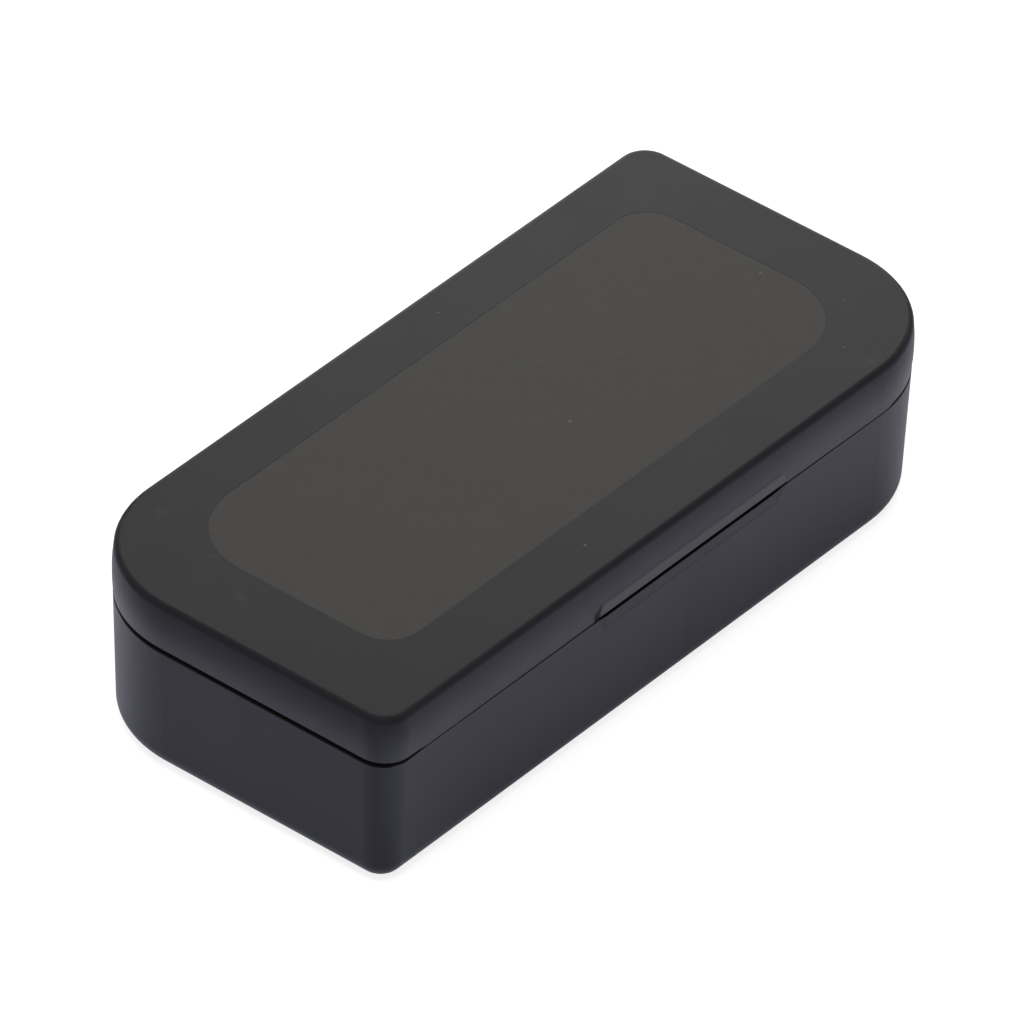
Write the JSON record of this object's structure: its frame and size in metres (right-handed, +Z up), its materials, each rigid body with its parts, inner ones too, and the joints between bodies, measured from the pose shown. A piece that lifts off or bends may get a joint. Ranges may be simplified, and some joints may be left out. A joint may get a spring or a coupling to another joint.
{
  "type": "usb flash drive case",
  "caption": "Small hinged hard case with two large and two small corners, a thumb lip, magnet closure and die-cut foam that holds a flash drive.",
  "frame": {"origin": "middle of the base's flat underside, below the middle of the lid's rim", "axes": "+X along the case, -Y the side that opens, +Y the hinge side, +Z up"},
  "size_m": [0.086, 0.0447, 0.0194],
  "materials": {
    "shell_plastic": "matte moulded plastic with a fine grain",
    "pin_steel": "drawn steel",
    "magnet_nickel": "nickel plated, slightly dulled",
    "foam": "closed-cell foam, matte"
  },
  "bodies": {
    "base": {"base_shell": "shell_plastic", "hinge_pin_left": "pin_steel", "hinge_pin_right": "pin_steel", "base_magnet_left": "magnet_nickel", "base_magnet_right": "magnet_nickel", "foam_floor": "foam", "foam_insert": "foam"},
    "lid": {"lid_shell": "shell_plastic", "lid_magnet_left": "magnet_nickel", "lid_magnet_right": "magnet_nickel", "lid_pad": "foam"}
  },
  "joints": [
    {"name": "lid_hinge", "type": "hinge", "parent": "base", "child": "lid", "pos_m": [0, 0.0215, 0.0128], "axis": [-1, 0, 0], "range_deg": [0, 110]}
  ]
}
